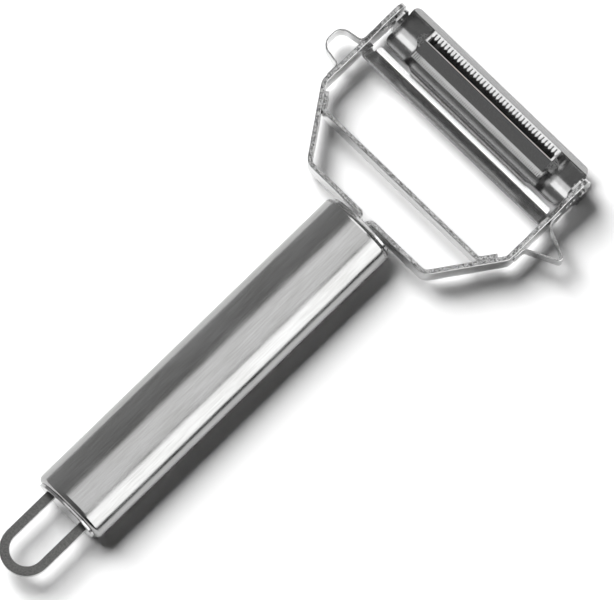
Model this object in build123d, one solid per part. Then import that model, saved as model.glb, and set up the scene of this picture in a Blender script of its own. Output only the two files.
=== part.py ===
from build123d import *
import os
from math import asin, atan2, cos, radians, sin, tan

# A hand-held vegetable peeler in stainless steel, lying on its back.
# Modelling frame: X along the blade, Y from the handle towards the head, Z up, with the
# zero on the handle's centreline, at the handle's front end, half way up its thickness.
# The finished pieces are then moved so that the middle of the whole tool's footprint is
# at the origin and the surface it lies on is at Z = 0. All sizes are in millimetres.

# Handle: an oval drawn tube with rolled ends, closed by a pressed cap at each end
handle_length = 109.5
handle_width = 22.6
handle_thickness = 14.0
handle_wall = 0.9
handle_shoulder = 1.5
cap_thickness = 0.8
cap_edge_round = 0.25
cap_spigot = 2.2
cap_fit = 0.10
core_fit = 0.15
front_core_length = 24.0
rear_core_length = 13.0

# Hanging loop: a flat blanked eye whose two legs go through the rear cap
loop_reach = 21.6
loop_width = 14.6
loop_band = 2.7
loop_thickness = 1.1
loop_leg = 12.0
loop_slot_fit = 0.05

# Yoke: two bent strips, standing on edge, whose tails go side by side into the handle
strip_thickness = 1.3
strip_depth = 7.0
tail_gap = 1.2
tail_length = 20.0
tail_bend_radius = 1.6
tail_slot_fit = 0.05
yoke_standoff = 1.0
base_half_width = 21.3
arm_half_width = 34.2
arm_start = 20.1
yoke_bend_radius = 3.0

# Eyes at the ends of the arms, which hold the pins
pivot_reach = 47.2
eye_beyond_pivot = 3.2
eye_depth = 9.6
eye_corner_radius = 2.9
eye_length = 8.6
eye_taper = 6.4
window_width = 0.8
window_depth = 1.5
window_pitch = 1.3
window_count = 3
first_window = 2.7

# Crossbar: a strip across the yoke, with its ends bent back along the yoke's slopes
crossbar_height = 13.9
crossbar_thickness = 1.2
crossbar_depth = 6.4
crossbar_tab = 5.2
crossbar_bend_radius = 1.8

# Pins: one through each eye, pressed in the arm, with a push-on cap outside it
pin_diameter = 1.5
pin_overhang = 0.25
pin_inner_overhang = 0.5
pin_cap_diameter = 2.8
pin_cap_height = 0.75
pin_cap_round = 0.45
pin_press_fit = 0.01
pin_running_fit = 0.05

# Guard: a fixed plate across the arms, just behind the peeling edge. It is folded along its
# length, and its ends are turned up against the arms. Its places are behind and below the pins
guard_thickness = 0.7
guard_back = (13.9, 0.6)
guard_fold = (10.0, 3.5)
guard_front = (8.2, 3.5)
guard_fold_radius = 1.6
guard_end_radius = 1.0
guard_end_rise = 0.4
guard_corner_round = 1.0

# Peeling blade: a swivelling trough of thin sheet, hung on the pins by a lug at each end
blade_thickness = 0.7
blade_inner_radius = 7.3
blade_drop = 4.3
blade_low_behind = 1.4
blade_back = 7.4
blade_edge_back = 8.1
blade_edge_length = 45.0
blade_edge_shift = 0.6
blade_edge_slant = 1.2
blade_front_wall = 4.65
blade_front = 6.27
blade_lip_tilt = 8.0
blade_corner_inset = 0.85
blade_back_corner = 3.2
blade_front_corner = 2.0
blade_end_gap = 0.4
lug_half_width = 3.0
lug_top = 1.9
lug_round_share = 0.9
ground_width = 0.5
ground_land = 0.12

# Julienne insert: a plate with a row of teeth on each side, carried in the trough by a
# half-round post at each end. Its sizes are those of the level insert, which is then turned
# about the pivot line by its tilt
insert_tilt = 14.0
insert_end_room = 10.05
insert_thickness = 0.5
insert_tab_thickness = 0.6
plate_height = 0.95
post_radius = 1.7
post_flat = 0.5
post_top_height = 1.2
plate_back = 3.1
plate_front = 0.8
comb_teeth_count = 39
fine_teeth_count = 78
fine_row_length = 2.0
fine_row_root = 0.12
fine_row_rise = 3.0
fine_tooth_share = 0.45
comb_back = 2.05
comb_front = 4.2
comb_root = 0.4
comb_slope = 12.0
comb_thickness = 0.45
comb_gap_share = 0.28
ridge_height = 0.25
ridge_share = 0.6
insert_tab_drop = 1.4
insert_tab_back_share = 0.2

# Gouges: thin looped strips on the outer faces of the arms. The shares are the places of
# each gouge's corners along the arm, from where the arm gets straight to the pivot line
gouge_thickness = 0.45
gouge_depth = 4.8
gouge_top_below = 1.1
round_gouge_shares = (0.081, 0.225, 0.269, 0.517, 0.561, 0.701)
round_gouge_reach = 6.9
round_gouge_radius_share = 0.448
round_foot_radii = (1.2, 1.7)
pointed_gouge_shares = (0.059, 0.185, 0.365, 0.535, 0.694)
pointed_gouge_reach = 10.3
pointed_gouge_radius = 0.9
pointed_foot_radii = (1.2, 3.0)

# One overrun for every cut that has to pass right through
overrun = 2.0

strip_half = strip_depth / 2
arm_inner = arm_half_width - strip_thickness / 2
arm_outer = arm_half_width + strip_thickness / 2
base_line = yoke_standoff + strip_thickness / 2
tail_offset = (tail_gap + strip_thickness) / 2
pin_radius = pin_diameter / 2
insert_half_length = arm_inner - insert_end_room


def oval(width, thickness, near_y, far_y):
    """An upright oval bar that fills Y from near_y to far_y."""
    section = Plane.XZ * Ellipse(width / 2, thickness / 2)
    return Pos(0, far_y, 0) * extrude(section, amount=far_y - near_y)


def strip(points, radii, thickness, depth, middle_z=0.0):
    """A strip on edge that follows a bent line in plan."""
    path = FilletPolyline(*points, radius=radii)
    start = path @ 0
    along = path % 0
    section = Plane(origin=start, x_dir=(0, 0, 1), z_dir=along) * Rectangle(depth, thickness)
    return Pos(0, 0, middle_z) * sweep(section, path=path)


def side_plate(corners, near_x, thickness):
    """A plate that faces along X, from its corners in Y and Z."""
    outline = make_face(Polyline(*corners, close=True))
    return Pos(near_x, 0, 0) * extrude(Plane.YZ * outline, amount=thickness)


def round_bar(radius, from_x, to_x):
    """A round bar on the pivot line."""
    bar = extrude(Plane.YZ * Circle(radius), amount=to_x - from_x)
    return Pos(from_x, pivot_reach, 0) * bar


def mirrored(piece):
    return mirror(piece, about=Plane.YZ)


def turned(piece, y, z, angle):
    """Turns a piece about a line along X, with its front going up."""
    return Pos(0, y, z) * Rot(X=angle) * Pos(0, -y, -z) * piece


def box_between(low, high):
    size = [b - a for a, b in zip(low, high)]
    middle = [(a + b) / 2 for a, b in zip(low, high)]
    return Pos(*middle) * Box(*size)


# Handle tube: the shoulders are rolled in to a lip that the caps sit on
tube_front = -cap_thickness
tube_rear = cap_thickness - handle_length
lip_width = handle_width - 2 * (handle_shoulder + handle_wall)
lip_thickness = handle_thickness - 2 * (handle_shoulder + handle_wall)
bore_width = handle_width - 2 * handle_wall
bore_thickness = handle_thickness - 2 * handle_wall


def make_handle_tube():
    tube = oval(handle_width, handle_thickness, tube_rear, tube_front)
    ends = tube.edges().filter_by(lambda e: abs(e.center().Z) < handle_wall)
    tube = fillet(ends, handle_shoulder)
    bore = oval(bore_width, bore_thickness, tube_rear + handle_shoulder, tube_front - handle_shoulder)
    mouth = oval(lip_width, lip_thickness, tube_rear - overrun, tube_front + overrun)
    return tube - bore - mouth


def cap(outer_y, inner_y):
    """A pressed cap from its outer face to the tube's end, with a spigot into the tube."""
    width = handle_width - 2 * handle_shoulder
    thickness = handle_thickness - 2 * handle_shoulder
    inward = 1 if inner_y > outer_y else -1
    plate = oval(width, thickness, min(outer_y, inner_y), max(outer_y, inner_y))
    rim = plate.edges().filter_by(lambda e: abs(e.center().Y - outer_y) < cap_thickness / 2)
    plate = fillet(rim, cap_edge_round)
    spigot_end = inner_y + inward * cap_spigot
    spigot = oval(
        lip_width - 2 * cap_fit,
        lip_thickness - 2 * cap_fit,
        min(inner_y, spigot_end),
        max(inner_y, spigot_end),
    )
    return plate + spigot


def tail_slot(from_y, to_y):
    half_width = tail_offset + strip_thickness / 2 + tail_slot_fit
    half_depth = strip_half + tail_slot_fit
    return box_between((-half_width, from_y, -half_depth), (half_width, to_y, half_depth))


def leg_slots(from_y, to_y):
    outer = loop_width / 2 + loop_slot_fit
    inner = loop_width / 2 - loop_band - loop_slot_fit
    half_depth = loop_thickness / 2 + loop_slot_fit
    slot = box_between((inner, from_y, -half_depth), (outer, to_y, half_depth))
    return slot + mirrored(slot)


front_core_front = tube_front - cap_spigot - cap_fit
front_core_rear = front_core_front - front_core_length
rear_core_rear = tube_rear + cap_spigot + cap_fit
rear_core_front = rear_core_rear + rear_core_length


def make_front_cap():
    return cap(0, tube_front) - tail_slot(-handle_length, overrun)


def make_rear_cap():
    return cap(-handle_length, tube_rear) - leg_slots(-handle_length - overrun, 0)


def make_front_core():
    core = oval(bore_width - 2 * core_fit, bore_thickness - 2 * core_fit, front_core_rear, front_core_front)
    return core - tail_slot(front_core_rear - overrun, overrun)


def make_rear_core():
    core = oval(bore_width - 2 * core_fit, bore_thickness - 2 * core_fit, rear_core_rear, rear_core_front)
    return core - leg_slots(-handle_length, rear_core_front + overrun)


def make_hanging_loop():
    leg_end = loop_leg - handle_length
    tip = -handle_length - loop_reach
    outer = loop_width / 2
    inner = outer - loop_band
    centre_y = tip + outer
    band = Pos(0, centre_y) * Circle(outer)
    band += Pos(0, (centre_y + leg_end) / 2) * Rectangle(loop_width, leg_end - centre_y)
    hole = Pos(0, centre_y) * Circle(inner)
    hole += Pos(0, (centre_y + leg_end + overrun) / 2) * Rectangle(2 * inner, leg_end + overrun - centre_y)
    return extrude(band - hole, amount=loop_thickness / 2, both=True)


# Yoke: the right strip, and its mirror image
eye_start = pivot_reach + eye_beyond_pivot - eye_length - eye_taper
eye_full = pivot_reach + eye_beyond_pivot - eye_length
eye_tip = pivot_reach + eye_beyond_pivot


def make_yoke_right_arm():
    points = [
        (tail_offset, -tail_length),
        (tail_offset, base_line),
        (base_half_width, base_line),
        (arm_half_width, arm_start),
        (arm_half_width, eye_start),
    ]
    radii = [tail_bend_radius, yoke_bend_radius, yoke_bend_radius]
    arm = strip(points, radii, strip_thickness, strip_depth)
    half = eye_depth / 2
    corners = [
        (eye_start, -strip_half),
        (eye_full, -half),
        (eye_tip, -half),
        (eye_tip, half),
        (eye_full, half),
        (eye_start, strip_half),
    ]
    eye = side_plate(corners, arm_inner, strip_thickness)
    tip_edges = eye.edges().filter_by(Axis.X).filter_by(
        lambda e: e.center().Y > eye_tip - eye_beyond_pivot / 2
    )
    arm += fillet(tip_edges, eye_corner_radius)
    arm -= round_bar(pin_radius + pin_press_fit, arm_inner - overrun, arm_outer + overrun)
    for index in range(window_count):
        middle = pivot_reach - first_window - index * window_pitch
        arm -= box_between(
            (arm_inner - overrun, middle - window_width / 2, -window_depth / 2),
            (arm_outer + overrun, middle + window_width / 2, window_depth / 2),
        )
    return arm


# Crossbar: its tabs lie against the inner faces of the yoke's slopes
slope_x = arm_half_width - base_half_width
slope_y = arm_start - base_line
slope_length = (slope_x**2 + slope_y**2) ** 0.5
along_slope = (slope_x / slope_length, slope_y / slope_length)


def make_crossbar():
    inset = (strip_thickness + crossbar_thickness) / 2
    middle_y = crossbar_height + crossbar_thickness / 2
    on_slope = base_half_width + slope_x * (middle_y - base_line) / slope_y
    corner_x = on_slope - inset / along_slope[1]
    end = (corner_x + crossbar_tab * along_slope[0], middle_y + crossbar_tab * along_slope[1])
    points = [
        (-end[0], end[1]),
        (-corner_x, middle_y),
        (corner_x, middle_y),
        end,
    ]
    return strip(points, [crossbar_bend_radius] * 2, crossbar_thickness, crossbar_depth)


# Pins and their caps: the right ones, and their mirror images
def make_right_pin():
    return round_bar(pin_radius, lug_inner - pin_inner_overhang, arm_outer + pin_overhang)


def make_right_pin_cap():
    body = round_bar(pin_cap_diameter / 2, arm_outer, arm_outer + pin_cap_height)
    rim = body.edges().filter_by(lambda e: e.center().X > arm_outer + pin_cap_height / 2)
    rim = rim.filter_by(GeomType.CIRCLE)
    body = fillet(rim, pin_cap_round)
    return body - round_bar(pin_radius + pin_press_fit, arm_outer - overrun, arm_outer + pin_overhang)


# Curved sheets: a band between two arcs about one centre, seen along X
def arc_point(centre, radius, angle):
    """A point on an arc; the angle is counted from straight down, towards the head."""
    return (centre[0] + radius * sin(angle), centre[1] - radius * cos(angle))


def arc_band(centre, inner_radius, thickness, start_angle, end_angle, half_length):
    middle_angle = (start_angle + end_angle) / 2
    outer_radius = inner_radius + thickness
    inner = [arc_point(centre, inner_radius, a) for a in (start_angle, middle_angle, end_angle)]
    outer = [arc_point(centre, outer_radius, a) for a in (end_angle, middle_angle, start_angle)]
    outline = (
        ThreePointArc(*inner) + Line(inner[2], outer[0]) + ThreePointArc(*outer) + Line(outer[2], inner[0])
    )
    return extrude(Plane.YZ * make_face(outline), amount=half_length, both=True)


# Guard plate: the back flange slopes down to the fold, and the front flange is nearly level
def behind_and_below(place):
    return (pivot_reach - place[0], -place[1])


def below(point, first_slope, second_slope):
    """The point under a corner of the plate's top, at the plate's thickness from both flanges."""
    middle = (first_slope + second_slope) / 2
    reach = guard_thickness / cos((first_slope - second_slope) / 2)
    return (point[0] + reach * sin(middle), point[1] - reach * cos(middle))


def turned_up_end(back, slope, length):
    """The right end of the back flange: a quarter bend up to a rim that touches the arm."""
    start = arm_inner - guard_end_radius - guard_thickness
    outer = guard_end_radius + guard_thickness
    half = sin(radians(45))
    rim = -guard_end_radius - guard_end_rise
    outline = (
        ThreePointArc(
            (start, 0),
            (start + guard_end_radius * half, guard_end_radius * (half - 1)),
            (start + guard_end_radius, -guard_end_radius),
        )
        + Line((start + guard_end_radius, -guard_end_radius), (start + guard_end_radius, rim))
        + Line((start + guard_end_radius, rim), (start + outer, rim))
        + Line((start + outer, rim), (start + outer, -guard_end_radius))
        + ThreePointArc(
            (start + outer, -guard_end_radius),
            (start + outer * half, outer * half - guard_end_radius),
            (start, guard_thickness),
        )
        + Line((start, guard_thickness), (start, 0))
    )
    across = Plane(origin=(0, *back), x_dir=(1, 0, 0), z_dir=(0, cos(slope), sin(slope)))
    return extrude(across * make_face(outline), amount=length)


def make_guard_bar():
    back, fold, front = [behind_and_below(place) for place in (guard_back, guard_fold, guard_front)]
    back_slope = atan2(fold[1] - back[1], fold[0] - back[0])
    front_slope = atan2(front[1] - fold[1], front[0] - fold[0])
    corners = [
        back,
        fold,
        front,
        below(front, front_slope, front_slope),
        below(fold, back_slope, front_slope),
        below(back, back_slope, back_slope),
    ]
    half_length = arm_inner - guard_end_radius - guard_thickness
    plate = side_plate(corners, -half_length, 2 * half_length)
    folds = plate.edges().filter_by(Axis.X)
    top_fold = folds.sort_by_distance((0, *fold))[:1]
    plate = fillet(top_fold, guard_fold_radius)
    folds = plate.edges().filter_by(Axis.X)
    under_fold = folds.sort_by_distance((0, *below(fold, back_slope, front_slope)))[:1]
    plate = fillet(under_fold, guard_fold_radius + guard_thickness)
    ends = plate.edges().filter_by(lambda e: abs(e.center().X) > half_length - guard_thickness / 2)
    front_ends = ends.filter_by(lambda e: e.length < guard_thickness * 2).group_by(Axis.Y)[-1]
    plate = fillet(front_ends, guard_corner_round)
    fold_room = (guard_fold_radius + guard_thickness) * tan((front_slope - back_slope) / 2)
    length = ((fold[0] - back[0]) ** 2 + (fold[1] - back[1]) ** 2) ** 0.5 - fold_room
    end = turned_up_end(back, back_slope, length)
    return plate + end + mirrored(end)


# Peeling blade
blade_centre = (pivot_reach - blade_low_behind, blade_inner_radius - blade_drop)
blade_mid_radius = blade_inner_radius + blade_thickness / 2
lug_outer = arm_inner - blade_end_gap
lug_inner = lug_outer - blade_thickness
blade_half_length = lug_outer - blade_corner_inset


def blade_angle(ahead_of_pivot):
    """The angle on the trough's middle surface at a distance ahead of the pivot line."""
    return asin((ahead_of_pivot + blade_low_behind) / blade_mid_radius)


def blade_outline():
    """The trough's outline in plan: rounded corners, a proud cutting edge, end tongues."""
    half = blade_half_length
    edge_left = blade_edge_shift - blade_edge_length / 2
    edge_right = blade_edge_shift + blade_edge_length / 2
    back = pivot_reach - blade_back
    front = pivot_reach + blade_front
    body = Pos(0, (back + front) / 2) * Rectangle(2 * half, front - back)
    front_corners = body.vertices().group_by(Axis.Y)[-1]
    body = fillet(front_corners, blade_front_corner)
    back_corners = body.vertices().group_by(Axis.Y)[0]
    body = fillet(back_corners, blade_back_corner)
    proud = [
        (edge_left, back + blade_thickness),
        (edge_left, back),
        (edge_left + blade_edge_slant, pivot_reach - blade_edge_back),
        (edge_right - blade_edge_slant, pivot_reach - blade_edge_back),
        (edge_right, back),
        (edge_right, back + blade_thickness),
    ]
    body += make_face(Polyline(*proud, close=True))
    body += Pos(0, pivot_reach) * Rectangle(2 * lug_outer, 2 * lug_half_width)
    return body


def blade_lug():
    """A lug that stands up from the trough's end and turns on the pin."""
    feet = [
        arc_point(blade_centre, blade_inner_radius + blade_thickness / 2, blade_angle(y))
        for y in (-lug_half_width, lug_half_width)
    ]
    corners = [
        feet[0],
        arc_point(blade_centre, blade_inner_radius + blade_thickness / 2, 0),
        feet[1],
        (feet[1][0], lug_top),
        (feet[0][0], lug_top),
    ]
    lug = side_plate(corners, lug_inner, blade_thickness)
    top_edges = lug.edges().filter_by(Axis.X).filter_by(lambda e: e.center().Z > lug_top / 2)
    return fillet(top_edges, lug_top * lug_round_share)


def back_arc_angle(radius, behind_pivot):
    """The angle on an arc of the trough at a distance behind the pivot line."""
    return -asin((behind_pivot - blade_low_behind) / radius)


def back_grind(from_x, to_x):
    """What grinding takes off the inner side of the proud edge, down to a thin land."""
    shoulder_angle = back_arc_angle(blade_inner_radius, blade_edge_back - ground_width)
    land_radius = blade_inner_radius + blade_thickness - ground_land
    land_angle = back_arc_angle(land_radius, blade_edge_back)
    shoulder = arc_point(blade_centre, blade_inner_radius, shoulder_angle)
    land = arc_point(blade_centre, land_radius, land_angle)
    beyond = [b + blade_thickness * (b - a) / ground_width for a, b in zip(shoulder, land)]
    corners = [shoulder, tuple(beyond), (beyond[0], beyond[1] + overrun)]
    corners.append((shoulder[0], shoulder[1] + overrun))
    return side_plate(corners, from_x, to_x - from_x)


def make_peeling_blade():
    back_angle = blade_angle(-blade_edge_back - blade_thickness)
    front_angle = blade_angle(blade_front_wall)
    trough = arc_band(
        blade_centre, blade_inner_radius, blade_thickness, back_angle, front_angle, lug_outer
    )
    lip_low = blade_centre[1] - (blade_inner_radius + blade_thickness) * cos(front_angle)
    lip_start = blade_centre[0] + (blade_inner_radius + blade_thickness / 2) * sin(front_angle)
    lip = box_between(
        (-lug_outer, lip_start, lip_low),
        (lug_outer, pivot_reach + blade_front + overrun, lip_low + blade_thickness),
    )
    in_outline = extrude(blade_outline(), amount=2 * blade_inner_radius, both=True)
    trough &= in_outline
    from_x = blade_edge_shift - blade_edge_length / 2
    trough -= back_grind(from_x, from_x + blade_edge_length)
    front = pivot_reach + blade_front
    lip_top = lip_low + blade_thickness
    lip_wedge = [
        (front - ground_width, lip_top),
        (front + ground_width, 2 * (lip_low + ground_land) - lip_top),
        (front + ground_width, lip_top + ground_width),
    ]
    lip = (lip & in_outline) - side_plate(lip_wedge, -lug_outer, 2 * lug_outer)
    trough += turned(lip, lip_start, lip_low + blade_thickness / 2, blade_lip_tilt)
    lug = blade_lug()
    trough += lug + mirrored(lug)
    return trough - round_bar(pin_radius + pin_running_fit, -arm_outer, arm_outer)


# Julienne insert
plate_low = plate_height
plate_top = plate_low + insert_thickness
tab_inner = insert_half_length - insert_tab_thickness
comb_root_line = comb_front - comb_root / 2
comb_low_at_root = plate_low - (comb_root_line - comb_back) * sin(radians(comb_slope))


def tilted(piece):
    """Turns a piece of the level insert about the pivot line to its place in the trough."""
    return turned(piece, pivot_reach, 0, insert_tilt)


def tooth_pitch(count):
    return 2 * insert_half_length / count


def tooth_starts(count):
    return [-insert_half_length + index * tooth_pitch(count) for index in range(count)]


def fine_row():
    """The plate's back edge: a row of narrow straight teeth, bent up from the plate."""
    pitch = tooth_pitch(fine_teeth_count)
    half_gap = pitch * (1 - fine_tooth_share) / 2
    outline = [(insert_half_length, 0), (-insert_half_length, 0), (-insert_half_length, -fine_row_root)]
    for start in tooth_starts(fine_teeth_count):
        near = start + half_gap
        far = start + pitch - half_gap
        outline.append((near, -fine_row_root))
        outline.append((near, -fine_row_length))
        outline.append((far, -fine_row_length))
        outline.append((far, -fine_row_root))
    outline.append((insert_half_length, -fine_row_root))
    teeth = extrude(make_face(Polyline(*outline, close=True)), amount=insert_thickness)
    bent = Rot(X=-fine_row_rise) * teeth
    return Pos(0, pivot_reach - plate_back, plate_low) * bent


def insert_tab():
    """An end wall of the insert, which stands against a post."""
    corners = [
        (pivot_reach - plate_back, plate_top),
        (pivot_reach - plate_back, -insert_tab_drop * insert_tab_back_share),
        (pivot_reach - plate_back / 2, -insert_tab_drop),
        (pivot_reach + plate_back / 2, -insert_tab_drop),
        (pivot_reach + comb_root_line, plate_low - insert_thickness),
        (pivot_reach + comb_root_line, comb_low_at_root),
        (pivot_reach + comb_back, plate_low),
        (pivot_reach + plate_front, plate_top),
    ]
    return side_plate(corners, tab_inner, insert_tab_thickness)


def make_julienne_plate():
    plate = box_between(
        (-insert_half_length, pivot_reach - plate_back, plate_low),
        (insert_half_length, pivot_reach + plate_front, plate_top),
    )
    tab = insert_tab()
    return tilted(plate + fine_row() + tab + mirrored(tab))


def make_right_post():
    """A half-round post from the trough's inner surface up to the insert's end wall."""
    section = Pos(insert_half_length + post_flat, pivot_reach) * Circle(post_radius)
    section += Pos(insert_half_length + post_flat / 2, pivot_reach) * Rectangle(post_flat, 2 * post_radius)
    post = extrude(section, amount=2 * blade_inner_radius, both=True)
    within = box_between(
        (insert_half_length, pivot_reach - overrun, -2 * blade_inner_radius),
        (lug_outer, pivot_reach + overrun, post_top_height),
    )
    round_room = Plane.YZ * (Pos(*blade_centre) * Circle(blade_inner_radius))
    return post & tilted(within) & extrude(round_room, amount=lug_outer)


def make_julienne_comb():
    """The coarse comb: pointed ridged teeth on a narrow band, welded on the end walls."""
    reach = comb_front - comb_back
    root = reach - comb_root
    pitch = tooth_pitch(comb_teeth_count)
    point = pitch / 2
    half_gap = pitch * comb_gap_share / 2
    width = pitch * ridge_share
    outline = [(insert_half_length, reach), (-insert_half_length, reach), (-insert_half_length, root)]
    for start in tooth_starts(comb_teeth_count):
        outline.append((start + half_gap, root))
        outline.append((start + half_gap, point))
        outline.append((start + pitch / 2, 0))
        outline.append((start + pitch - half_gap, point))
        outline.append((start + pitch - half_gap, root))
    outline.append((insert_half_length, root))
    comb = extrude(make_face(Polyline(*outline, close=True)), amount=comb_thickness)
    for start in tooth_starts(comb_teeth_count):
        middle = start + pitch / 2
        ridge = [
            (middle, 0),
            (middle + width / 2, point),
            (middle + width / 2, reach),
            (middle - width / 2, reach),
            (middle - width / 2, point),
        ]
        ridge_face = make_face(Polyline(*ridge, close=True))
        comb += Pos(0, 0, comb_thickness) * extrude(ridge_face, amount=ridge_height)
    sloped = Rot(X=-comb_slope) * comb
    return tilted(Pos(0, pivot_reach + comb_back, plate_low) * sloped)


# Gouges
gouge_middle = strip_half - gouge_top_below - gouge_depth / 2
gouge_line = arm_outer + gouge_thickness / 2


def places_along_arm(shares):
    return [arm_start + share * (pivot_reach - arm_start) for share in shares]


def make_round_gouge():
    out = -(gouge_line + round_gouge_reach)
    places = places_along_arm(round_gouge_shares)
    outs = [-gouge_line, -gouge_line, out, out, -gouge_line, -gouge_line]
    bulge_radius = (places[3] - places[2]) * round_gouge_radius_share
    radii = [round_foot_radii[0], bulge_radius, bulge_radius, round_foot_radii[1]]
    return strip(list(zip(outs, places)), radii, gouge_thickness, gouge_depth, gouge_middle)


def make_pointed_gouge():
    point = gouge_line + pointed_gouge_reach
    places = places_along_arm(pointed_gouge_shares)
    outs = [gouge_line, gouge_line, point, gouge_line, gouge_line]
    radii = [pointed_foot_radii[0], pointed_gouge_radius, pointed_foot_radii[1]]
    return strip(list(zip(outs, places)), radii, gouge_thickness, gouge_depth, gouge_middle)


right_arm = make_yoke_right_arm()
pin = make_right_pin()
pin_cap = make_right_pin_cap()
post = make_right_post()
pieces = {
    "handle_tube": make_handle_tube(),
    "handle_front_cap": make_front_cap(),
    "handle_rear_cap": make_rear_cap(),
    "front_core": make_front_core(),
    "rear_core": make_rear_core(),
    "hanging_loop": make_hanging_loop(),
    "yoke_left_arm": mirrored(right_arm),
    "yoke_right_arm": right_arm,
    "crossbar": make_crossbar(),
    "guard_bar": make_guard_bar(),
    "round_gouge": make_round_gouge(),
    "pointed_gouge": make_pointed_gouge(),
    "pivot_pin_left": mirrored(pin),
    "pivot_pin_right": pin,
    "pin_cap_left": mirrored(pin_cap),
    "pin_cap_right": pin_cap,
    "peeling_blade": make_peeling_blade(),
    "insert_post_left": mirrored(post),
    "insert_post_right": post,
    "julienne_plate": make_julienne_plate(),
    "julienne_comb": make_julienne_comb(),
}

# The tool's footprint is centred on the origin, and it lies on Z = 0
boxes = [piece.bounding_box() for piece in pieces.values()]
low_corner = [min(tuple(box.min)[axis] for box in boxes) for axis in range(3)]
high_corner = [max(tuple(box.max)[axis] for box in boxes) for axis in range(3)]
shift = (
    -(low_corner[0] + high_corner[0]) / 2,
    -(low_corner[1] + high_corner[1]) / 2,
    -low_corner[2],
)

os.makedirs("parts", exist_ok=True)
for name, piece in pieces.items():
    placed = Pos(*shift) * piece
    export_step(placed, f"parts/{name}.step")
    print(f"{name}: {len(piece.solids())} solid(s), {piece.volume:.1f} mm3")

size = [high - low for low, high in zip(low_corner, high_corner)]
print("size", [round(value, 3) for value in size])
print("pivot line at", [round(value, 3) for value in (shift[0], shift[1] + pivot_reach, shift[2])])
print("shift", [round(value, 3) for value in shift])
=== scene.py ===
import math

import bpy
from mathutils import Matrix, Vector

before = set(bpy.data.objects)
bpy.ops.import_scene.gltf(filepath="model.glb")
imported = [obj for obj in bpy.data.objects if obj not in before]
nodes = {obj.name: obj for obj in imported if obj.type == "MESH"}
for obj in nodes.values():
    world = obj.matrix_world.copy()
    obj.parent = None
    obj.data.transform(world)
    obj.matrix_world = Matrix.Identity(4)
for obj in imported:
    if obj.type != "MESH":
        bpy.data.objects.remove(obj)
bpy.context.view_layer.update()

# Cores: moulded black ABS plugs inside the handle's two ends. They grip the yoke's tails and
# the loop's legs. The mould gives them a fine even grain of about 0.1 mm, drawn at 0.4 mm.
mm = 0.001
core_grain = 0.4 * mm


def linear(hex_colour):
    """An sRGB hex colour as linear red, green, blue and alpha."""
    channels = [int(hex_colour[i:i + 2], 16) / 255 for i in (1, 3, 5)]
    lit = [c / 12.92 if c <= 0.04045 else ((c + 0.055) / 1.055) ** 2.4 for c in channels]
    return (*lit, 1)


def add(tree, kind, inputs=None, **settings):
    """Adds a node with its settings, and gives its inputs their values or links."""
    node = tree.nodes.new(kind)
    for name, value in settings.items():
        setattr(node, name, value)
    for name, value in (inputs or {}).items():
        if isinstance(value, bpy.types.NodeSocket):
            tree.links.new(value, node.inputs[name])
        else:
            node.inputs[name].default_value = value
    return node


def new_material(name):
    """An empty material, with its node tree and its Object coordinates."""
    material = bpy.data.materials.new(name)
    material.use_nodes = True
    tree = material.node_tree
    tree.nodes.clear()
    place = add(tree, "ShaderNodeTexCoord").outputs["Object"]
    return material, tree, place


def dress(material, *names):
    """Gives CAD nodes a material in their own slots."""
    for name in names:
        slots = nodes[name].data.materials
        if not slots:
            slots.append(material)
        for index in range(len(slots)):
            slots[index] = material


core_abs, tree, place = new_material("moulded_black_abs")
grain = add(tree, "ShaderNodeTexNoise", {"Vector": place, "Scale": 1 / core_grain}).outputs["Fac"]
tint = add(tree, "ShaderNodeMix", {
    0: grain, 6: linear("#1B1B1D"), 7: linear("#26262A"),
}, data_type="RGBA")
gloss = add(tree, "ShaderNodeMapRange", {"Value": grain, "To Min": 0.45, "To Max": 0.65})
relief = add(tree, "ShaderNodeBump", {"Height": grain, "Strength": 0.3, "Distance": 0.02 * mm})
abs_shader = add(tree, "ShaderNodeBsdfPrincipled", {
    "Base Color": tint.outputs[2], "Roughness": gloss.outputs["Result"],
    "Normal": relief.outputs["Normal"],
})
add(tree, "ShaderNodeOutputMaterial", {"Surface": abs_shader.outputs["BSDF"]})
dress(core_abs, "front_core", "rear_core")

# Handle tube: an oval tube of 304 stainless steel, drawn, brushed along its length, and
# rolled in at its ends. Brushing leaves soft streaks along the handle, drawn 0.3 mm wide
# because the real grit of about 0.05 mm is too fine to show.
brush_width = 0.3 * mm
brush_length = 7 * mm
cloud_width = 4.5 * mm
cloud_length = 18 * mm

tube_steel, tree, place = new_material("brushed_304_tube")
along = add(tree, "ShaderNodeMapping", {
    "Vector": place, "Scale": (1 / brush_width, 1 / brush_length, 1 / brush_width),
}).outputs["Vector"]
streak = add(tree, "ShaderNodeTexNoise", {
    "Vector": along, "Scale": 1.0, "Detail": 3.0, "Roughness": 0.6,
}).outputs["Fac"]
cloudy = add(tree, "ShaderNodeMapping", {
    "Vector": place, "Scale": (1 / cloud_width, 1 / cloud_length, 1 / cloud_width),
}).outputs["Vector"]
cloud = add(tree, "ShaderNodeTexNoise", {
    "Vector": cloudy, "Scale": 1.0, "Detail": 3.0,
}).outputs["Fac"]
both = add(tree, "ShaderNodeMath", {0: streak, 1: cloud}, operation="ADD").outputs["Value"]
share = add(tree, "ShaderNodeMapRange", {"Value": both, "From Min": 0.75, "From Max": 1.25})
tint = add(tree, "ShaderNodeMix", {
    0: share.outputs["Result"], 6: linear("#A2A2A1"), 7: linear("#B3B3B3"),
}, data_type="RGBA")
gloss = add(tree, "ShaderNodeMapRange", {
    "Value": both, "From Min": 0.7, "From Max": 1.3, "To Min": 0.14, "To Max": 0.23,
})
relief = add(tree, "ShaderNodeBump", {"Height": streak, "Strength": 0.05, "Distance": 0.01 * mm})
around = add(tree, "ShaderNodeTangent", direction_type="RADIAL", axis="Y")
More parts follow.
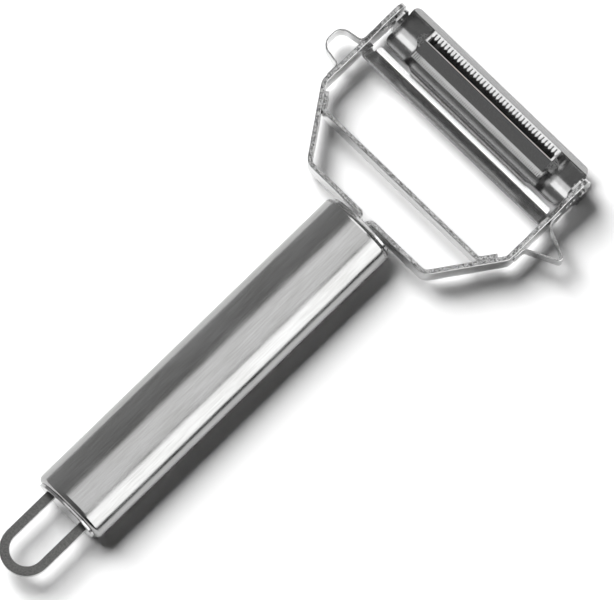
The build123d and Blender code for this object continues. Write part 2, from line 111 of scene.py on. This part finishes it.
tube_shader = add(tree, "ShaderNodeBsdfPrincipled", {
    "Metallic": 1.0, "Anisotropic": 0.3, "Tangent": around.outputs["Tangent"],
    "Base Color": tint.outputs[2], "Roughness": gloss.outputs["Result"],
    "Normal": relief.outputs["Normal"],
})
add(tree, "ShaderNodeOutputMaterial", {"Surface": tube_shader.outputs["BSDF"]})
dress(tube_steel, "handle_tube")

# End caps: cups pressed from the same sheet and tumbled bright. They sit inside the rolled
# ends of the tube and show as a thin bright rim beside a dark seam. The marks of tumbling are
# about 0.1 mm wide and drawn at 0.6 mm.


def bright_steel(name, grain, dark, light, smoothest, roughest, edge, relief_strength=0.1):
    """Smooth bright steel: faint mottling in colour, gloss and height, and soft edges."""
    material, tree, place = new_material(name)
    mottle = add(tree, "ShaderNodeTexNoise", {
        "Vector": place, "Scale": 1 / grain, "Detail": 3.0,
    }).outputs["Fac"]
    share = add(tree, "ShaderNodeMapRange", {"Value": mottle, "From Min": 0.35, "From Max": 0.65})
    tint = add(tree, "ShaderNodeMix", {
        0: share.outputs["Result"], 6: linear(dark), 7: linear(light),
    }, data_type="RGBA")
    gloss = add(tree, "ShaderNodeMapRange", {
        "Value": mottle, "From Min": 0.3, "From Max": 0.7, "To Min": smoothest, "To Max": roughest,
    })
    soft_edge = add(tree, "ShaderNodeBevel", {"Radius": edge}, samples=6)
    relief = add(tree, "ShaderNodeBump", {
        "Height": mottle, "Strength": relief_strength, "Distance": 0.01 * mm,
        "Normal": soft_edge.outputs["Normal"],
    })
    steel = add(tree, "ShaderNodeBsdfPrincipled", {
        "Metallic": 1.0, "Base Color": tint.outputs[2],
        "Roughness": gloss.outputs["Result"], "Normal": relief.outputs["Normal"],
    })
    add(tree, "ShaderNodeOutputMaterial", {"Surface": steel.outputs["BSDF"]})
    return material


cap_steel = bright_steel(
    "tumbled_304_cap", grain=0.6 * mm, dark="#A8A8A8", light="#C8C8C8",
    smoothest=0.16, roughest=0.26, edge=0.1 * mm)
dress(cap_steel, "handle_front_cap", "handle_rear_cap")

# Hanging loop: a strip of 304 stainless, blanked and bent to an eye, with its legs in the
# rear core. Its rolled faces are bright satin, and its sheared edges are grey and even.
# Rolling and shearing leave marks of 0.05 to 0.1 mm, which are drawn coarser so that they show.
rolled_grain = 0.25 * mm
shear_grain = 0.45 * mm
edge_rounding = 0.35 * mm
sheared_from, sheared_full = 0.6, 0.9    # how squarely a face looks up or down
corner_from, corner_full = 0.99, 0.90    # cosine between the face and the rounded corner


def strip_steel(name, face_dark, face_light, shear_dark, shear_light, wear_and_highlight):
    """Rolled faces, sheared edges facing up or down, and worn corners with a painted highlight."""
    material, tree, place = new_material(name)
    satin = add(tree, "ShaderNodeTexNoise", {
        "Vector": place, "Scale": 1 / rolled_grain,
    }).outputs["Fac"]
    face = add(tree, "ShaderNodeMix", {
        0: satin, 6: linear(face_dark), 7: linear(face_light),
    }, data_type="RGBA")
    speck = add(tree, "ShaderNodeTexNoise", {
        "Vector": place, "Scale": 1 / shear_grain, "Detail": 4.0, "Roughness": 0.7,
    }).outputs["Fac"]
    speck_share = add(tree, "ShaderNodeMapRange", {
        "Value": speck, "From Min": 0.38, "From Max": 0.62,
    })
    shear = add(tree, "ShaderNodeMix", {
        0: speck_share.outputs["Result"], 6: linear(shear_dark), 7: linear(shear_light),
    }, data_type="RGBA")
    normal = add(tree, "ShaderNodeTexCoord").outputs["Normal"]
    upright = add(tree, "ShaderNodeSeparateXYZ", {"Vector": normal}).outputs["Z"]
    steepness = add(tree, "ShaderNodeMath", {0: upright}, operation="ABSOLUTE").outputs["Value"]
    sheared = add(tree, "ShaderNodeMapRange", {
        "Value": steepness, "From Min": sheared_from, "From Max": sheared_full,
    })
    sides = add(tree, "ShaderNodeMix", {
        0: sheared.outputs["Result"], 6: face.outputs[2], 7: shear.outputs[2],
    }, data_type="RGBA")
    soft_edge = add(tree, "ShaderNodeBevel", {"Radius": edge_rounding}, samples=8).outputs["Normal"]
    plain_normal = add(tree, "ShaderNodeNewGeometry").outputs["Normal"]
    turned = add(tree, "ShaderNodeVectorMath", {
        0: soft_edge, 1: plain_normal,
    }, operation="DOT_PRODUCT")
    # Worn corners: where the rounded normal turns from the face, the colour goes towards
    # near-white, a painted highlight along the edges as well as wear.
    painted_edge_highlight = add(tree, "ShaderNodeMapRange", {
        "Value": turned.outputs["Value"],
        "From Min": corner_from, "From Max": corner_full, "To Max": wear_and_highlight,
    })
    tint = add(tree, "ShaderNodeMix", {
        0: painted_edge_highlight.outputs["Result"], 6: sides.outputs[2], 7: linear("#FAFAFA"),
    }, data_type="RGBA")
    gloss = add(tree, "ShaderNodeMapRange", {
        "Value": sheared.outputs["Result"], "To Min": 0.20, "To Max": 0.34,
    })
    relief = add(tree, "ShaderNodeBump", {
        "Height": speck, "Strength": 0.7, "Distance": 0.03 * mm, "Normal": soft_edge,
    })
    steel = add(tree, "ShaderNodeBsdfPrincipled", {
        "Metallic": 1.0, "Base Color": tint.outputs[2],
        "Roughness": gloss.outputs["Result"], "Normal": relief.outputs["Normal"],
    })
    add(tree, "ShaderNodeOutputMaterial", {"Surface": steel.outputs["BSDF"]})
    return material


loop_steel = strip_steel(
    "blanked_304_loop", face_dark="#C4C4C4", face_light="#D2D2D2",
    shear_dark="#646463", shear_light="#7A7A79", wear_and_highlight=0.8)
dress(loop_steel, "hanging_loop")

# Yoke arms, crossbar and gouges: blanked from 1.3 mm strip of 304 stainless and spot-welded
# together. The shears leave their edges rough and grey, with dark specks, between worn corners
# that are lightened to thin near-white lines, a painted highlight as well as wear.
yoke_steel = strip_steel(
    "sheared_304_strip", face_dark="#C0C0C0", face_light="#D0D0D0",
    shear_dark="#3A3A3A", shear_light="#C4C4C4", wear_and_highlight=1.0)
dress(yoke_steel, "yoke_left_arm", "yoke_right_arm", "crossbar", "round_gouge", "pointed_gouge")

# Guard: a strip of bright rolled 304 stainless, folded to two flanges and spot-welded by its
# turned-up ends between the arms. Its rolled face mirrors the lamps softly, with faint marks
# that are drawn at 0.5 mm.
guard_steel = bright_steel(
    "bright_rolled_304_guard", grain=0.5 * mm, dark="#DADADA", light="#E2E2E2",
    smoothest=0.20, roughest=0.26, edge=0.16 * mm, relief_strength=0.04)
dress(guard_steel, "guard_bar")

# Pins and pin caps: turned from bright drawn bar. The pins are pressed through the arms' eyes
# and run in the blade's lugs, and the caps are pushed on outside the arms. The marks of
# turning are drawn at 0.5 mm.
pin_steel = bright_steel(
    "turned_304_pin", grain=0.5 * mm, dark="#8F8F8F", light="#A6A6A6",
    smoothest=0.18, roughest=0.28, edge=0.08 * mm)
dress(pin_steel, "pivot_pin_left", "pivot_pin_right", "pin_cap_left", "pin_cap_right")

# Peeling blade: a trough rolled from hardened 420 stainless strip, with a ground rear edge, a
# bevelled front lip and a lug at each end that turns on a pin. Its polish mirrors the lamps
# as long bands, with slow waves of about 2.5 mm.
blade_steel = bright_steel(
    "polished_420_blade", grain=2.5 * mm, dark="#A8A8A8", light="#B2B2B2",
    smoothest=0.16, roughest=0.22, edge=0.12 * mm, relief_strength=0.05)
dress(blade_steel, "peeling_blade")

# Posts: half-round bar of 304 stainless, sawn off and welded in the trough, with the insert
# on top of them. Sawing leaves them mottled and a little rough, drawn at 0.35 mm.
post_steel = bright_steel(
    "sawn_304_post", grain=0.35 * mm, dark="#8A8A8A", light="#B4B4B4",
    smoothest=0.22, roughest=0.34, edge=0.1 * mm, relief_strength=0.4)
dress(post_steel, "insert_post_left", "insert_post_right")

# Shredding insert, the plate: hardened 420 strip with its fine teeth punched out. The fine
# teeth and the front edge are honed and bead-blasted, which leaves them pale and matt, and
# the rest keeps its dark mirror finish, with faint mottling at 0.5 mm.
plate_grain = 0.5 * mm
teeth_root = 82.5 * mm
front_edge = 86.2 * mm
honed_blend = 0.04 * mm
mirror_roughness, honed_roughness = 0.17, 0.45
mirror_metal, honed_metal = 1.0, 0.5

plate_steel, tree, place = new_material("punched_420_plate")
mottle = add(tree, "ShaderNodeTexNoise", {
    "Vector": place, "Scale": 1 / plate_grain, "Detail": 3.0,
}).outputs["Fac"]
along_y = add(tree, "ShaderNodeSeparateXYZ", {"Vector": place}).outputs["Y"]
teeth = add(tree, "ShaderNodeMapRange", {
    "Value": along_y, "From Min": teeth_root + honed_blend, "From Max": teeth_root,
}).outputs["Result"]
edge = add(tree, "ShaderNodeMapRange", {
    "Value": along_y, "From Min": front_edge, "From Max": front_edge + honed_blend,
}).outputs["Result"]
honed = add(tree, "ShaderNodeMath", {0: teeth, 1: edge}, operation="MAXIMUM").outputs["Value"]
mirror_tint = add(tree, "ShaderNodeMix", {
    0: mottle, 6: linear("#A6A6A6"), 7: linear("#B2B2B2"),
}, data_type="RGBA")
honed_tint = add(tree, "ShaderNodeMix", {
    0: mottle, 6: linear("#C2C2C2"), 7: linear("#D2D2D2"),
}, data_type="RGBA")
tint = add(tree, "ShaderNodeMix", {
    0: honed, 6: mirror_tint.outputs[2], 7: honed_tint.outputs[2],
}, data_type="RGBA")
gloss = add(tree, "ShaderNodeMapRange", {
    "Value": honed, "To Min": mirror_roughness, "To Max": honed_roughness,
})
metal_share = add(tree, "ShaderNodeMapRange", {
    "Value": honed, "To Min": mirror_metal, "To Max": honed_metal,
})
relief = add(tree, "ShaderNodeBump", {"Height": mottle, "Strength": 0.04, "Distance": 0.01 * mm})
plate_shader = add(tree, "ShaderNodeBsdfPrincipled", {
    "Metallic": metal_share.outputs["Result"], "Base Color": tint.outputs[2],
    "Roughness": gloss.outputs["Result"], "Normal": relief.outputs["Normal"],
})
add(tree, "ShaderNodeOutputMaterial", {"Surface": plate_shader.outputs["BSDF"]})
dress(plate_steel, "julienne_plate")

# Shredding insert, the comb: hardened 420 strip with pointed ridged teeth, honed bright and
# welded on the plate's end walls. The marks of honing are drawn at 0.8 mm.
comb_steel = bright_steel(
    "honed_420_comb", grain=0.8 * mm, dark="#C8C8C8", light="#D8D8D8",
    smoothest=0.16, roughest=0.26, edge=0.06 * mm)
dress(comb_steel, "julienne_comb")

# Floor: a wide sheet of white paper, with the faint tooth of uncoated stock, drawn at 0.3 mm.
# It stays white in the picture and keeps the peeler's shadow.
floor_half = 4.0
paper_tooth = 0.3 * mm
floor_mesh = bpy.data.meshes.new("paper_floor")
floor_corners = [(-floor_half, -floor_half, 0), (floor_half, -floor_half, 0),
                 (floor_half, floor_half, 0), (-floor_half, floor_half, 0)]
floor_mesh.from_pydata(floor_corners, [], [(0, 1, 2, 3)])
floor = bpy.data.objects.new("paper_floor", floor_mesh)
bpy.context.scene.collection.objects.link(floor)
paper, tree, place = new_material("white_uncoated_paper")
tooth = add(tree, "ShaderNodeTexNoise", {"Vector": place, "Scale": 1 / paper_tooth}).outputs["Fac"]
tint = add(tree, "ShaderNodeMix", {
    0: tooth, 6: linear("#FDFDFD"), 7: linear("#FFFFFF"),
}, data_type="RGBA")
paper_shader = add(tree, "ShaderNodeBsdfPrincipled", {
    "Base Color": tint.outputs[2], "Roughness": 0.9, "Specular IOR Level": 0.0,
})
add(tree, "ShaderNodeOutputMaterial", {"Surface": paper_shader.outputs["BSDF"]})
floor_mesh.materials.append(paper)

# Light: a soft lamp on the left of the handle lights the paper. Three soft boxes are what the
# steel reflects: one overhead, one beyond the blade and one low on the right. They light only
# what mirrors them.
aim = Vector((0, 0.02, 0.007))


def lamp(name, direction, distance, width, length, watts):
    """An area lamp at a distance in a direction, facing the peeler, its length along Y."""
    data = bpy.data.lights.new(name, "AREA")
    data.shape = "RECTANGLE"
    data.size = width
    data.size_y = length
    data.energy = watts
    piece = bpy.data.objects.new(name, data)
    bpy.context.scene.collection.objects.link(piece)
    back = Vector(direction).normalized()
    along = Vector((0, 1, 0))
    along = (along - back * along.dot(back)).normalized()
    turn = Matrix((along.cross(back), along, back)).transposed()
    piece.matrix_world = Matrix.Translation(aim + back * distance) @ turn.to_4x4()
    return piece


key = lamp("key_lamp", (-0.62, 0.02, 0.78), distance=4.0, width=2.6, length=2.6, watts=265)
key.visible_glossy = False
box_distance = 1.0
soft_boxes = {    # direction, width, length and radiance
    "top_soft_box": ((0.044, 0.16, 0.986), 0.83, 0.42, 1.15),
    "front_soft_box": ((-0.10, 0.54, 0.835), 0.70, 0.43, 2.0),
    "side_soft_box": ((0.79, 0.1, 0.613), 0.82, 1.3, 2.3),
}
for name, (direction, width, length, radiance) in soft_boxes.items():
    watts = radiance * math.pi * width * length
    soft_box = lamp(name, direction, box_distance, width, length, watts)
    soft_box.visible_diffuse = False

# Room: dim grey, and lighter on the left than on the right. The steel mirrors it between the
# soft boxes. It adds no light to the paper, so that the peeler's shadow stays deep.
left = (-1, 0, 0)
darkest_towards, lightest_towards = -0.6, 0.97    # cosine of the angle from the left
darkest, lightest = 0.03, 0.36

room = bpy.data.worlds.new("dim_room")
bpy.context.scene.world = room
room.use_nodes = True
room.cycles_visibility.diffuse = False
tree = room.node_tree
tree.nodes.clear()
facing = add(tree, "ShaderNodeTexCoord").outputs["Generated"]
leftward = add(tree, "ShaderNodeVectorMath", {0: facing, 1: left}, operation="DOT_PRODUCT")
glow = add(tree, "ShaderNodeMapRange", {
    "Value": leftward.outputs["Value"],
    "From Min": darkest_towards, "From Max": lightest_towards,
    "To Min": darkest, "To Max": lightest,
})
backing = add(tree, "ShaderNodeBackground", {
    "Color": linear("#FFFFFF"), "Strength": glow.outputs["Result"],
})
add(tree, "ShaderNodeOutputWorld", {"Surface": backing.outputs["Background"]})

# Camera: far off with a long lens, 14 degrees from straight above, as in the photograph, and
# turned so that the handle runs from the lower left to the upper right.
view_from = Vector((0.17106, -0.17106, 0.97030))
view_distance = 2.0
pixels_per_metre = 3800.0
picture_width = 614
sensor_width = 36.0
sees_to = 20
middle = Vector((3.13, 14.10, 7)) * mm

camera_data = bpy.data.cameras.new("camera")
camera_data.sensor_width = sensor_width
camera_data.lens = sensor_width * pixels_per_metre * view_distance / picture_width
camera_data.clip_end = sees_to
camera = bpy.data.objects.new("camera", camera_data)
bpy.context.scene.collection.objects.link(camera)
picture_right = Vector((1, 1, 0)).normalized()
picture_up = view_from.cross(picture_right)
turn = Matrix((picture_right, picture_up, view_from)).transposed()
camera.matrix_world = Matrix.Translation(middle + view_from * view_distance) @ turn.to_4x4()
bpy.context.scene.camera = camera
bpy.context.scene.view_settings.view_transform = "Standard"
